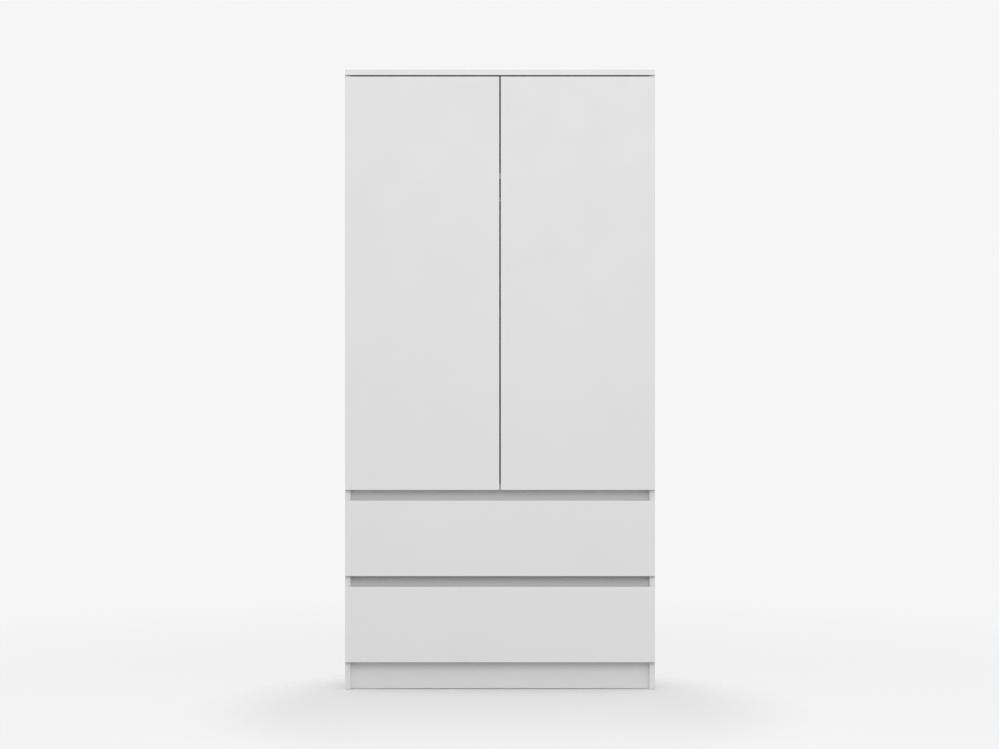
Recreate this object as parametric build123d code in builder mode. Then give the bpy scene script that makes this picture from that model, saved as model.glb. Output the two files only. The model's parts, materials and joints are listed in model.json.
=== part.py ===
from build123d import *
import os

# A two-door wardrobe with two full-width drawers, flat-pack construction in 16 mm melamine board.
# Millimetres. X runs across the width, the doors face -Y, Z is up, the origin is on the floor
# under the middle of the body.

os.makedirs("parts", exist_ok=True)

# ---- driving dimensions -------------------------------------------------------------------
WIDTH = 900
DEPTH = 510
HEIGHT = 1800
BOARD = 16                 # melamine-faced board
THIN_BOARD = 12            # drawer sides and backs
HDF = 3                    # back panels and drawer bottoms
GLIDE = 1.5                # floor glides under the side panels
EDGE_R = 0.8               # softened edge of the front panels

FRONT_GAP = 3.5            # from the back of a door or drawer front to the body
SIDE_INSET = 0.5           # the fronts stop this far inside the outer faces
MEETING_GAP = 4            # between the two doors
TOP_GAP = 4                # between the doors and the top panel
DRAWER_FRONT = 219         # height of a drawer front
GROOVE = 31                # finger groove above each drawer front
PLINTH = 80                # underside of the lower drawer front
RECESS = 25                # grip rails and kickboard behind the body's front edges
STRIP_FLANGE = 1           # plastic strip that joins the two back panels
BACK_INSET = 3             # back panels inside the outline of the body
BACK_FOOT = 15             # back panels above the floor

SIDES = (-1, 1)            # left and right

# ---- levels and planes worked out from them -----------------------------------------------
FRONT_Y = -DEPTH / 2
FRONT_BACK_Y = FRONT_Y + BOARD                   # back face of doors and drawer fronts
BODY_Y = FRONT_BACK_Y + FRONT_GAP                # front edges of the body panels
BACK_OUT_Y = DEPTH / 2 - STRIP_FLANGE            # outside of the back panels
REAR_Y = BACK_OUT_Y - HDF                        # rear edges of the body panels
OUTER_X = WIDTH / 2
INNER_X = OUTER_X - BOARD                        # inner faces of the side panels
FRONT_X = OUTER_X - SIDE_INSET                   # side edges of the fronts
RECESS_Y = BODY_Y + RECESS                       # front faces of the grip rails and kickboard

LOWER_FRONT_Z = PLINTH
UPPER_FRONT_Z = LOWER_FRONT_Z + DRAWER_FRONT + GROOVE
DOOR_Z = UPPER_FRONT_Z + DRAWER_FRONT + GROOVE
TOP_Z = HEIGHT - BOARD
DOOR_TOP_Z = TOP_Z - TOP_GAP
OVERLAP = 2                                      # boards start this far above a front's edge
BOTTOM_Z = PLINTH + OVERLAP
SHELF_Z = DOOR_Z + OVERLAP
GRIP_RAIL = 60                                   # height of the two grip rails
UPPER_RAIL_Z = SHELF_Z - GRIP_RAIL
LOWER_RAIL_Z = UPPER_FRONT_Z + OVERLAP - GRIP_RAIL
HAT_SHELF_DROP, HAT_SHELF_BACK = 316, 11         # underside from the top, rear edge from the back
HAT_SHELF_Z = HEIGHT - HAT_SHELF_DROP
HAT_SHELF_Y = (BODY_Y, REAR_Y - HAT_SHELF_BACK)
HAT_SHELF_PLAY = 1                               # at each end

# ---- fittings -----------------------------------------------------------------------------
CAM_R, CAM_DEPTH, CAM_BACKSET = 7.5, 12.5, 34    # cam lock housing, and its distance from the joint
CAM_SLOT, CAM_SLOT_W, CAM_SLOT_DEPTH = 9, 1.6, 2 # driver cross in a cam lock
BOLT_R, BOLT_HOLE_R, BOLT_THREAD_R = 3.5, 4, 2.5
BOLT_IN, BOLT_PLAY = 11, 1                       # bolt hole in the other board, and its spare depth
BOLT_SHANK_R, BOLT_SHORT = 2.7, 6                # the shank stops this far short of the cam's axis
BOLT_NECK_R, BOLT_NECK, BOLT_HEAD = 1.8, 2, 3
DOWEL_R, DOWEL_LEN, DOWEL_IN = 4, 30, 11         # beech dowel, its length and its depth in a side
DOWEL_PLAY = 0.5
FIT = 0.05                                       # clearance round pins, dowels and screws
HEAD_PLAY = 0.2                                  # clearance round bolt heads and axle ends
CAM_FRONT, CAM_REAR = 85.5, 61                   # cam rows from the body's front and rear edges
CAM_YS = (BODY_Y + CAM_FRONT, REAR_Y - CAM_REAR)
DOWEL_STEP = 32                                  # a dowel stands this far behind each cam
RAIL_CAM_Z, RAIL_DOWEL_Z = 22, 44                # cam and dowel height in a rail on edge

SCREW_R, SCREW_LEN, SCREW_HEAD_R, SCREW_HEAD = 1.75, 13, 3.2, 1.4
EURO_R, EURO_LEN, EURO_HEAD_R = 2.5, 11, 3.6     # screws of the hinge plates
SHORT_SCREW = 9                                  # screws under the drawer runners
BACK_SCREW_LEN, BACK_SCREW_IN = 28, 20           # drawer back screws, and their holes in the back
BACK_SCREW_SINK = 1
PAST = 0.5                                       # a through hole is drilled this far past the sheet

# hinges: a cup in the door, a pin in the cup and a cranked arm on a plate on the side panel
HINGE_ZS = [DOOR_Z + 100, DOOR_Z + 600, DOOR_Z + 1100]
CUP_R, CUP_WALL, CUP_DEPTH, CUP_FLOOR = 17.4, 1.2, 12.9, 1
CUP_HOLE_R, CUP_HOLE_DEPTH = 17.5, 13
CUP_EDGE = 3                                     # board left between cup hole and door edge
CUP_FLANGE, CUP_RIM = 0.8, 1
CUP_SCREW_Z, CUP_SCREW_OUT = 24, 6               # 48 / 6 mm cup screw pattern
WING_W, WING_END, WING_CORNER = 12, 5.5, 5       # screw flange of the cup
PIN_EDGE, PIN_DEPTH = 8, 9                       # hinge pin from the door's edge and back face
PIN_R, PIN_HALF = 1.5, 8.2
EYE_R, EYE_HALF = 2.5, 5
EAR_HALF, EAR_GAP = 2.5, 0.4                     # ears that hold the pin on both sides of the eye
ARM_T = 2.4
NECK_INSET, NECK_BACK = 24, 10                   # the arm passes the side panel's edge here
SHANK_START, SHANK_END = 16, 62                  # straight part of the arm behind the front edge
CHEEK_START, CHEEK_END, CHEEK = 18, 64, 1.4      # folded edges of the arm
PLATE_SETBACK = 37                               # plate screws from the body's front edge
PLATE_SCREW_Z = 16                               # 32 mm apart
PLATE_W, PLATE_H, PLATE_CORNER, PLATE_T = 16, 50, 6, 2
RIDGE_START, RIDGE_END, RIDGE_HALF, RIDGE_T = 22, 66, 8, 2
BUMPER_X, BUMPER_R, BUMPER_EDGE = 14, 3.2, 1.2   # door bumpers near the meeting edge
BUMPER_T = FRONT_GAP - 0.1

# drawers: bottom-mounted roller runners, 12.5 mm each side
RUNNER_GAP = 12.5
RUNNER_LEN = 450
RUNNER_H = 32
SHEET = 1.2                                      # runner sheet steel
RUNNER_Y = BODY_Y + 3.5                          # front end of the body runner
LOWER_RUNNER_Z = BOTTOM_Z + BOARD + 9
UPPER_RUNNER_Z = UPPER_FRONT_Z + 27
DRAWER_SIDE_H = 150
DRAWER_REAR_Y = REAR_Y - 44
BOX_X = INNER_X - RUNNER_GAP                     # outer faces of a drawer box
BOX_IN_X = BOX_X - THIN_BOARD
SIDE_UP = 6                                      # drawer side above the runner's underside
BOTTOM_UP = 16                                   # drawer bottom above the runner's underside
GROOVE_IN = 6                                    # drawer bottom in the sides
FRONT_GROOVE_IN = 5                              # drawer bottom in the drawer front
ROLLER_R, ROLLER_W, AXLE_R = 9, 7, 2
ROLLER_GAP, ROLLER_EDGE = 0.3, 0.6               # roller to track, and its rounded rim
ROLLER_Z = SHEET + ROLLER_GAP + ROLLER_R
TRACK_Z = ROLLER_Z + ROLLER_R + ROLLER_GAP       # underside of the drawer runner's track
FRONT_ROLLER_Y = RUNNER_Y + 17
REAR_ROLLER_Y = DRAWER_REAR_Y - 14
RUNNER_SCREW_YS = [BODY_Y + 37, BODY_Y + 165, BODY_Y + 389]
RUNNER_SCREW_Z = 26
RUNNER_FLOOR, RUNNER_ROOF, ROOF_START = 10.3, 8, 50   # widths of the channel, start of its roof
RUNNER_SHORT, TRACK_OUT = 2, 3                   # drawer runner's ends, and its track from the side

# hanging rail and wall brackets
RAIL_Z, RAIL_H, RAIL_W, RAIL_WALL = 1430, 30, 15, 1
RAIL_SCREW_Z, RAIL_END_GAP = 25, 3
SOCKET_H, SOCKET_W, SOCKET_T = 66, 22, 2.5       # socket's screw plate
SOCKET_DEPTH, SOCKET_WALL, SOCKET_PLAY = 12, 2.8, 0.2
BRACKET_X, BRACKET_W, BRACKET_LEG, BRACKET_T = 350, 30, 42, 2
BRACKET_HOLE_R, BRACKET_DROP = 2.75, 26
BRACKET_SCREW_X, BRACKET_SCREW_Y = 8, 29

# shelf supports and floor glides
SUPPORT_R, SUPPORT_HOLE, SUPPORT_IN, SUPPORT_FROM_END = 2.5, 9, 8.5, 50
SUPPORT_PLATE, SUPPORT_HALF, SUPPORT_DROP = 1.5, 4.5, 8.5
TONGUE, TONGUE_HALF, TONGUE_T = 12, 3.5, 5
PIN_DROP = 3.5                                   # pin's axis under the hat shelf
GLIDE_LEN, GLIDE_W, GLIDE_FROM_END = 34, 13, 40
GLIDE_PIN_R, GLIDE_PIN, GLIDE_HOLE_R, GLIDE_HOLE = 1.2, 12, 1.5, 14

# back
STRIP_WEB, STRIP_PLAY, STRIP_HALF = 0.6, 0.4, 10 # half thickness, gap to a panel, half width
STRIP_CLEAR = 1                                  # inner flange from the boards it passes
NAIL_R, NAIL_HEAD_R, NAIL_HEAD = 0.8, 2.2, 0.6
NAIL_START, NAIL_STEP, NAIL_COUNT = 25, 145, 13  # up the sides
ROW_START, ROW_STEP, ROW_COUNT = 60, 120, 3      # along the boards, from the middle outward
TOP_ROW_DROP = 2                                 # the top row is moved off the panel's edge


def centre(span):
    return (span[0] + span[1]) / 2


def slab(x_span, y_span, z_span):
    """A flat rectangular piece in the current part, between two corners."""
    with BuildSketch(Plane.XY.offset(z_span[0])) as outline:
        with Locations((centre(x_span), centre(y_span))):
            Rectangle(x_span[1] - x_span[0], y_span[1] - y_span[0])
    extrude(outline.sketch, amount=z_span[1] - z_span[0])


def across(side, near, far):
    """An X span given by two distances from the middle, on the left or the right."""
    return tuple(sorted((side * near, side * far)))


def drill(spots, outward, radius, depth):
    """Round holes in the current part, from points on its surface."""
    with Locations(*[Plane(origin=spot, z_dir=outward) for spot in spots]):
        Hole(radius, depth)


def rods(spots, direction, length, radius, mode=Mode.ADD):
    """Round bars in the current part, each from a starting point along one direction."""
    with Locations(*[Plane(origin=spot, z_dir=direction) for spot in spots]):
        Cylinder(radius, length, align=(Align.CENTER, Align.CENTER, Align.MIN), mode=mode)


def further(spots, direction, distance):
    """The same points, moved along one direction."""
    return [Vector(*spot) + Vector(*direction) * distance for spot in spots]


def cross_recess(spots, mouth, length, width, depth):
    """A driver cross sunk into the current part at each point."""
    with Locations(*[Plane(origin=spot, z_dir=mouth) for spot in spots]):
        Box(length, width, 2 * depth, mode=Mode.SUBTRACT)
        Box(width, length, 2 * depth, mode=Mode.SUBTRACT)


def screws(spots, into, length, radius=SCREW_R, head_r=SCREW_HEAD_R, head=SCREW_HEAD):
    """Pan-head screws with a cross recess. The spots are the underside of each head."""
    outward = Vector(*into) * -1
    rods(spots, into, length, radius - FIT)
    rods(spots, outward, head, head_r)
    cross_recess(further(spots, outward, head), outward, head_r * 1.3, head_r / 4, head / 2)


def write(builder, name):
    builder.part.label = name
    export_step(builder.part, f"parts/{name}.step")


# ---- where the fittings sit ----------------------------------------------------------------
def board_joint(side, y, z):
    """Point on a side panel's inner face, for a bolt or dowel into a board's end."""
    return (side * INNER_X, y, z)


PANEL_ZS = [BOTTOM_Z, SHELF_Z]
RAILS_ON_EDGE = [GLIDE, LOWER_RAIL_Z, UPPER_RAIL_Z]      # undersides of kickboard and grip rails
RAIL_MID_Y = RECESS_Y + BOARD / 2
SIDE_MID_X = OUTER_X - BOARD / 2


def bolt_points(side):
    """All cam bolts that are screwed into one side panel."""
    flat = [board_joint(side, y, z + BOARD / 2) for z in PANEL_ZS for y in CAM_YS]
    on_edge = [board_joint(side, RAIL_MID_Y, z + RAIL_CAM_Z) for z in RAILS_ON_EDGE]
    return flat + on_edge


def dowel_points(side):
    flat = [board_joint(side, y + DOWEL_STEP, z + BOARD / 2) for z in PANEL_ZS for y in CAM_YS]
    on_edge = [board_joint(side, RAIL_MID_Y, z + RAIL_DOWEL_Z) for z in RAILS_ON_EDGE]
    return flat + on_edge


TOP_BOLTS = [(side * SIDE_MID_X, y, TOP_Z) for side in SIDES for y in CAM_YS]
TOP_DOWELS = [(side * SIDE_MID_X, y + DOWEL_STEP, TOP_Z) for side in SIDES for y in CAM_YS]
DOWEL_OUT = DOWEL_LEN - DOWEL_IN
WALL_HOLES = [(side * BRACKET_X, REAR_Y, TOP_Z - BRACKET_DROP) for side in SIDES]
BRACKET_SCREWS = [(side * BRACKET_X + dx, REAR_Y - BRACKET_SCREW_Y, TOP_Z - BRACKET_T)
                  for side in SIDES for dx in (-BRACKET_SCREW_X, BRACKET_SCREW_X)]
PLATE_ZS = [z + dz for z in HINGE_ZS for dz in (-PLATE_SCREW_Z, PLATE_SCREW_Z)]
SUPPORT_YS = (HAT_SHELF_Y[0] + SUPPORT_FROM_END, HAT_SHELF_Y[1] - SUPPORT_FROM_END)
SUPPORT_Z = HAT_SHELF_Z - PIN_DROP
SOCKET_SCREW_ZS = (RAIL_Z - RAIL_SCREW_Z, RAIL_Z + RAIL_SCREW_Z)
RUNNER_ZS = {"lower": LOWER_RUNNER_Z, "upper": UPPER_RUNNER_Z}
FRONT_ZS = {"lower": LOWER_FRONT_Z, "upper": UPPER_FRONT_Z}
GLIDE_YS = [BODY_Y + GLIDE_FROM_END, REAR_Y - GLIDE_FROM_END]


# ---- body: side panels ---------------------------------------------------------------------
def side_panel(side):
    inward = (-side, 0, 0)
    face = side * INNER_X
    with BuildPart() as panel:
        slab(across(side, INNER_X, OUTER_X), (BODY_Y, REAR_Y), (GLIDE, TOP_Z))
        fillet(panel.edges().filter_by(Axis.Z).group_by(Axis.Y)[0], EDGE_R)
        drill(bolt_points(side), inward, BOLT_THREAD_R, BOLT_IN)
        drill(dowel_points(side), inward, DOWEL_R, DOWEL_IN)
        drill([(face, BODY_Y + PLATE_SETBACK, z) for z in PLATE_ZS], inward, EURO_R, EURO_LEN)
        runner_holes = [(face, y, z + RUNNER_SCREW_Z)
                        for z in RUNNER_ZS.values() for y in RUNNER_SCREW_YS]
        socket_holes = [(face, 0, z) for z in SOCKET_SCREW_ZS]
        drill(runner_holes + socket_holes, inward, SCREW_R, SCREW_LEN)
        drill([(face, y, SUPPORT_Z) for y in SUPPORT_YS], inward, SUPPORT_R, SUPPORT_HOLE)
        # top joint: cam housings in the inner face, bolt and dowel channels from the top edge
        drill([(face, y, TOP_Z - CAM_BACKSET) for y in CAM_YS], inward, CAM_R, CAM_DEPTH)
        mid_x = side * SIDE_MID_X
        drill([(mid_x, y, TOP_Z) for y in CAM_YS], (0, 0, 1), BOLT_HOLE_R, CAM_BACKSET)
        drill([(mid_x, y + DOWEL_STEP, TOP_Z) for y in CAM_YS], (0, 0, 1), DOWEL_R, DOWEL_OUT)
        drill([(mid_x, y, GLIDE) for y in GLIDE_YS], (0, 0, -1), GLIDE_HOLE_R, GLIDE_HOLE)
    return panel


write(side_panel(-1), "side_panel_left")
write(side_panel(1), "side_panel_right")


# ---- body: horizontal panels ---------------------------------------------------------------
def shelf_panel(z):
    """A fixed panel between the sides, with cam housings in its underside."""
    with BuildPart() as panel:
        slab((-INNER_X, INNER_X), (BODY_Y, REAR_Y), (z, z + BOARD))
        fillet(panel.edges().filter_by(Axis.X).group_by(Axis.Y)[0], EDGE_R)
        for side in SIDES:
            end = (side, 0, 0)
            middle = z + BOARD / 2
            drill([(side * INNER_X, y, middle) for y in CAM_YS], end, BOLT_HOLE_R, CAM_BACKSET)
            drill([(side * INNER_X, y + DOWEL_STEP, middle) for y in CAM_YS], end, DOWEL_R, DOWEL_OUT)
            drill([(side * (INNER_X - CAM_BACKSET), y, z) for y in CAM_YS], (0, 0, -1), CAM_R, CAM_DEPTH)
    return panel


write(shelf_panel(BOTTOM_Z), "bottom_panel")
write(shelf_panel(SHELF_Z), "middle_shelf")

with BuildPart() as top_panel:
    slab((-OUTER_X, OUTER_X), (FRONT_Y, REAR_Y), (TOP_Z, HEIGHT))
    fillet(top_panel.edges().filter_by(Axis.X).group_by(Axis.Y)[0], EDGE_R)
    drill(TOP_BOLTS, (0, 0, -1), BOLT_THREAD_R, BOLT_IN)
    drill(TOP_DOWELS, (0, 0, -1), DOWEL_R, DOWEL_IN)
    drill(BRACKET_SCREWS, (0, 0, -1), SCREW_R, SCREW_LEN)
write(top_panel, "top_panel")

with BuildPart() as hat_shelf:
    hat_x = INNER_X - HAT_SHELF_PLAY
    slab((-hat_x, hat_x), HAT_SHELF_Y, (HAT_SHELF_Z, HAT_SHELF_Z + BOARD))
    fillet(hat_shelf.edges().filter_by(Axis.X).group_by(Axis.Y)[0], EDGE_R)
write(hat_shelf, "hat_shelf")


# ---- body: boards on edge ------------------------------------------------------------------
def rail_on_edge(z, height):
    """Kickboard or grip rail, with its cam housings in the rear face."""
    with BuildPart() as rail:
        slab((-INNER_X, INNER_X), (RECESS_Y, RECESS_Y + BOARD), (z, z + height))
        for side in SIDES:
            end = (side, 0, 0)
            drill([(side * INNER_X, RAIL_MID_Y, z + RAIL_CAM_Z)], end, BOLT_HOLE_R, CAM_BACKSET)
            drill([(side * INNER_X, RAIL_MID_Y, z + RAIL_DOWEL_Z)], end, DOWEL_R, DOWEL_OUT)
            cam_x = side * (INNER_X - CAM_BACKSET)
            drill([(cam_x, RECESS_Y + BOARD, z + RAIL_CAM_Z)], (0, 1, 0), CAM_R, CAM_DEPTH)
    return rail


write(rail_on_edge(GLIDE, BOTTOM_Z - GLIDE), "kickboard")
write(rail_on_edge(LOWER_RAIL_Z, GRIP_RAIL), "grip_rail_lower")
write(rail_on_edge(UPPER_RAIL_Z, GRIP_RAIL), "grip_rail_upper")


# ---- body: joining fittings ----------------------------------------------------------------
def cam_housings(spots, mouth, bolt_axis, depth=CAM_DEPTH, board=BOARD):
    """Die-cast cam locks: a drum with a driver cross, and a side slot for the bolt's head."""
    inward = Vector(*mouth) * -1
    rods(spots, inward, depth - FIT, CAM_R - FIT)
    cross_recess(spots, mouth, CAM_SLOT, CAM_SLOT_W, CAM_SLOT_DEPTH)
    roots = further(spots, inward, board / 2)
    rods(roots, bolt_axis, 2 * CAM_R, BOLT_R + HEAD_PLAY, mode=Mode.SUBTRACT)


def cam_bolts(spots, into):
    """Steel bolts: thread, shank, and a head on a thin neck in the cam."""
    outward = Vector(*into) * -1
    shank = CAM_BACKSET - BOLT_SHORT
    rods(spots, into, BOLT_IN - BOLT_PLAY, BOLT_THREAD_R - FIT)
    rods(spots, outward, shank, BOLT_SHANK_R)
    rods(further(spots, outward, shank), outward, BOLT_NECK, BOLT_NECK_R)
    rods(further(spots, outward, shank + BOLT_NECK), outward, BOLT_HEAD, BOLT_R)


with BuildPart() as cam_locks:
    for side in SIDES:
        end = (side, 0, 0)
        cam_x = side * (INNER_X - CAM_BACKSET)
        cam_housings([(cam_x, y, z) for z in PANEL_ZS for y in CAM_YS], (0, 0, -1), end)
        cam_housings([(cam_x, RECESS_Y + BOARD, z + RAIL_CAM_Z) for z in RAILS_ON_EDGE], (0, 1, 0), end)
        top_cams = [(side * INNER_X, y, TOP_Z - CAM_BACKSET) for y in CAM_YS]
        cam_housings(top_cams, (-side, 0, 0), (0, 0, 1))
write(cam_locks, "cam_locks")

with BuildPart() as cam_bolt_group:
    for side in SIDES:
        cam_bolts(bolt_points(side), (side, 0, 0))
    cam_bolts(TOP_BOLTS, (0, 0, 1))
write(cam_bolt_group, "cam_bolts")

with BuildPart() as dowels:
    dowel_len = DOWEL_LEN - 2 * DOWEL_PLAY
    for side in SIDES:
        ends = further(dowel_points(side), (side, 0, 0), DOWEL_IN - DOWEL_PLAY)
        rods(ends, (-side, 0, 0), dowel_len, DOWEL_R - FIT)
    rods(further(TOP_DOWELS, (0, 0, 1), DOWEL_IN - DOWEL_PLAY), (0, 0, -1), dowel_len, DOWEL_R - FIT)
write(dowels, "wooden_dowels")

with BuildPart() as shelf_supports:
    for side in SIDES:
        plate_x = INNER_X - SUPPORT_PLATE
        for y in SUPPORT_YS:
            pin_len = SUPPORT_PLATE + SUPPORT_IN
            rods([(side * plate_x, y, SUPPORT_Z)], (side, 0, 0), pin_len, SUPPORT_R - FIT)
            slab(across(side, plate_x, INNER_X), (y - SUPPORT_HALF, y + SUPPORT_HALF),
                 (HAT_SHELF_Z - SUPPORT_DROP, HAT_SHELF_Z))
            slab(across(side, INNER_X - TONGUE, plate_x), (y - TONGUE_HALF, y + TONGUE_HALF),
                 (HAT_SHELF_Z - TONGUE_T, HAT_SHELF_Z))
write(shelf_supports, "shelf_supports")

with BuildPart() as floor_glides:
    for side in SIDES:
        for y in GLIDE_YS:
            with BuildSketch():
                with Locations((side * SIDE_MID_X, y)):
                    SlotOverall(GLIDE_LEN, GLIDE_W, rotation=90)
            extrude(amount=GLIDE)
        rods([(side * SIDE_MID_X, y, GLIDE) for y in GLIDE_YS], (0, 0, 1), GLIDE_PIN, GLIDE_PIN_R)
write(floor_glides, "floor_glides")

# ---- body: back ----------------------------------------------------------------------------
BACK_X = OUTER_X - BACK_INSET
BACK_ZS = (BACK_FOOT, HEIGHT - BACK_INSET)
NAIL_ZS = [BACK_FOOT + NAIL_START + NAIL_STEP * i for i in range(NAIL_COUNT)]
ROW_XS = [ROW_START + ROW_STEP * i for i in range(ROW_COUNT)]
ROW_ZS = [z + BOARD / 2 for z in (BOTTOM_Z, SHELF_Z, TOP_Z - TOP_ROW_DROP)]


def nail_points(side):
    """Nails along one back panel's outer edge, the top and bottom panels and the shelf."""
    edge = [(side * SIDE_MID_X, BACK_OUT_Y, z) for z in NAIL_ZS]
    rows = [(side * x, BACK_OUT_Y, z) for x in ROW_XS for z in ROW_ZS]
    return edge + rows


def back_panel(side):
    with BuildPart() as panel:
        slab(across(side, STRIP_WEB + STRIP_PLAY, BACK_X), (REAR_Y, BACK_OUT_Y), BACK_ZS)
        drill(nail_points(side), (0, 1, 0), NAIL_R, HDF + PAST)
        bracket_hole = (side * BRACKET_X, BACK_OUT_Y, TOP_Z - BRACKET_DROP)
        drill([bracket_hole], (0, 1, 0), BRACKET_HOLE_R, HDF + PAST)
    return panel


write(back_panel(-1), "back_panel_left")
write(back_panel(1), "back_panel_right")

with BuildPart() as back_strip:
    flange = (-STRIP_HALF, STRIP_HALF)
    slab((-STRIP_WEB, STRIP_WEB), (REAR_Y, DEPTH / 2), BACK_ZS)
    slab(flange, (BACK_OUT_Y, DEPTH / 2), BACK_ZS)
    for below, above in ((BOTTOM_Z, SHELF_Z), (SHELF_Z, TOP_Z)):
        slab(flange, (REAR_Y - STRIP_FLANGE, REAR_Y), (below + BOARD + STRIP_CLEAR, above - STRIP_CLEAR))
write(back_strip, "back_joint_strip")

# ---- body: hanging rail --------------------------------------------------------------------
with BuildPart() as hanging_rail:
    rail_end = INNER_X - RAIL_END_GAP
    with BuildSketch(Plane.YZ.offset(-rail_end)):
        with Locations((0, RAIL_Z)):
            SlotOverall(RAIL_H, RAIL_W, rotation=90)
            SlotOverall(RAIL_H - 2 * RAIL_WALL, RAIL_W - 2 * RAIL_WALL, rotation=90, mode=Mode.SUBTRACT)
    extrude(amount=2 * rail_end)
write(hanging_rail, "hanging_rail")

with BuildPart() as rail_sockets:
    for side in SIDES:
        with BuildSketch(Plane.YZ.offset(side * INNER_X)):
            with Locations((0, RAIL_Z)):
                SlotOverall(SOCKET_H, SOCKET_W, rotation=90)
        extrude(amount=-side * SOCKET_T)
        plate_x = side * (INNER_X - SOCKET_T)
        hole = 2 * SOCKET_PLAY
        outline = hole + 2 * SOCKET_WALL
        with BuildSketch(Plane.YZ.offset(plate_x)):
            with Locations((0, RAIL_Z)):
                SlotOverall(RAIL_H + outline, RAIL_W + outline, rotation=90)
                SlotOverall(RAIL_H + hole, RAIL_W + hole, rotation=90, mode=Mode.SUBTRACT)
        extrude(amount=-side * SOCKET_DEPTH)
        drill([(plate_x, 0, z) for z in SOCKET_SCREW_ZS], (-side, 0, 0), SCREW_R, SOCKET_T + PAST)
write(rail_sockets, "hanging_rail_sockets")

# ---- body: wall brackets -------------------------------------------------------------------
with BuildPart() as wall_brackets:
    for side in SIDES:
        x_span = (side * BRACKET_X - BRACKET_W / 2, side * BRACKET_X + BRACKET_W / 2)
        slab(x_span, (REAR_Y - BRACKET_LEG, REAR_Y), (TOP_Z - BRACKET_T, TOP_Z))
        slab(x_span, (REAR_Y - BRACKET_T, REAR_Y), (TOP_Z - BRACKET_LEG, TOP_Z))
    drill(WALL_HOLES, (0, 1, 0), BRACKET_HOLE_R, BRACKET_T + PAST)
    drill(BRACKET_SCREWS, (0, 0, -1), SCREW_R, BRACKET_T)
write(wall_brackets, "wall_brackets")

# ---- body: nails and screws ----------------------------------------------------------------
with BuildPart() as back_nails:
    for side in SIDES:
        rods(nail_points(side), (0, 1, 0), NAIL_HEAD, NAIL_HEAD_R)
        rods(nail_points(side), (0, -1, 0), HDF, NAIL_R - FIT)
write(back_nails, "back_nails")

with BuildPart() as wood_screws:
    for side in SIDES:
        into = (side, 0, 0)
        heads = INNER_X - SHEET
        spots = [(side * heads, y, z + RUNNER_SCREW_Z) for z in RUNNER_ZS.values() for y in RUNNER_SCREW_YS]
        screws(spots, into, SCREW_LEN)
        screws([(side * (INNER_X - SOCKET_T), 0, z) for z in SOCKET_SCREW_ZS], into, SCREW_LEN)
    screws(BRACKET_SCREWS, (0, 0, 1), SCREW_LEN)
write(wood_screws, "body_screws")


# ---- hinges: arms, plates and plate screws on the body --------------------------------------
def hinge_point(side, inset, ahead):
    """A point by its distance in from the outer face and ahead of the body's front edge."""
    return (side * (OUTER_X - inset), BODY_Y - ahead)


PIN_INSET = SIDE_INSET + PIN_EDGE
PIN_AHEAD = FRONT_GAP + PIN_DEPTH
CUP_INSET = SIDE_INSET + CUP_EDGE + CUP_HOLE_R
PLATE_TOP = BOARD + PLATE_T + RIDGE_T            # inset of the plate's ridge
ARM_REAR = PLATE_TOP + ARM_T / 2
ARM_FACE = OUTER_X - PLATE_TOP - ARM_T           # X of the arm's face that looks into the body
ARM_SPAN = (BODY_Y + CHEEK_START, BODY_Y + CHEEK_END)
CHEEK_FOOT = INNER_X - PLATE_T - 0.3             # the folded edges stop just above the plate
ADJUSTER_R, ADJUSTER_IN, ADJUSTER_YS = 2, 1.2, (BODY_Y + 25, BODY_Y + 52)
ADJUSTER_HEAD_R, ADJUSTER_HEAD = 3, 1
ADJUSTERS = [(side * ARM_FACE, y, z) for side in SIDES for y in ADJUSTER_YS for z in HINGE_ZS]

with BuildPart() as hinge_arms:
    for side in SIDES:
        for z in HINGE_ZS:
            neck = [(PIN_INSET, PIN_AHEAD), (NECK_INSET, PIN_AHEAD), (NECK_INSET, -NECK_BACK),
                    (ARM_REAR, -SHANK_START), (ARM_REAR, -SHANK_END)]
            with BuildSketch(Plane.XY.offset(z)):
                with BuildLine():
                    FilletPolyline(*[hinge_point(side, *p) for p in neck], radius=2)
                trace(line_width=ARM_T)
                with Locations(hinge_point(side, PIN_INSET, PIN_AHEAD)):
                    Circle(EYE_R)
                    Circle(PIN_R + FIT, mode=Mode.SUBTRACT)
            extrude(amount=EYE_HALF, both=True)
            arm_half = RIDGE_HALF + CHEEK
            slab(across(side, ARM_FACE, ARM_FACE + ARM_T), ARM_SPAN, (z - arm_half, z + arm_half))
            for up in SIDES:
                low, high = across(up, RIDGE_HALF + 2 * FIT, arm_half)
                slab(across(side, ARM_FACE, CHEEK_FOOT), ARM_SPAN, (z + low, z + high))
        spots = [spot for spot in ADJUSTERS if spot[0] * side > 0]
        drill(spots, (-side, 0, 0), ADJUSTER_R, ARM_T)
write(hinge_arms, "hinge_arms")

with BuildPart() as hinge_adjusters:
    for side in SIDES:
        spots = [spot for spot in ADJUSTERS if spot[0] * side > 0]
        screws(spots, (side, 0, 0), ARM_T + ADJUSTER_IN, ADJUSTER_R, ADJUSTER_HEAD_R, ADJUSTER_HEAD)
write(hinge_adjusters, "hinge_adjusting_screws")

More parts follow.
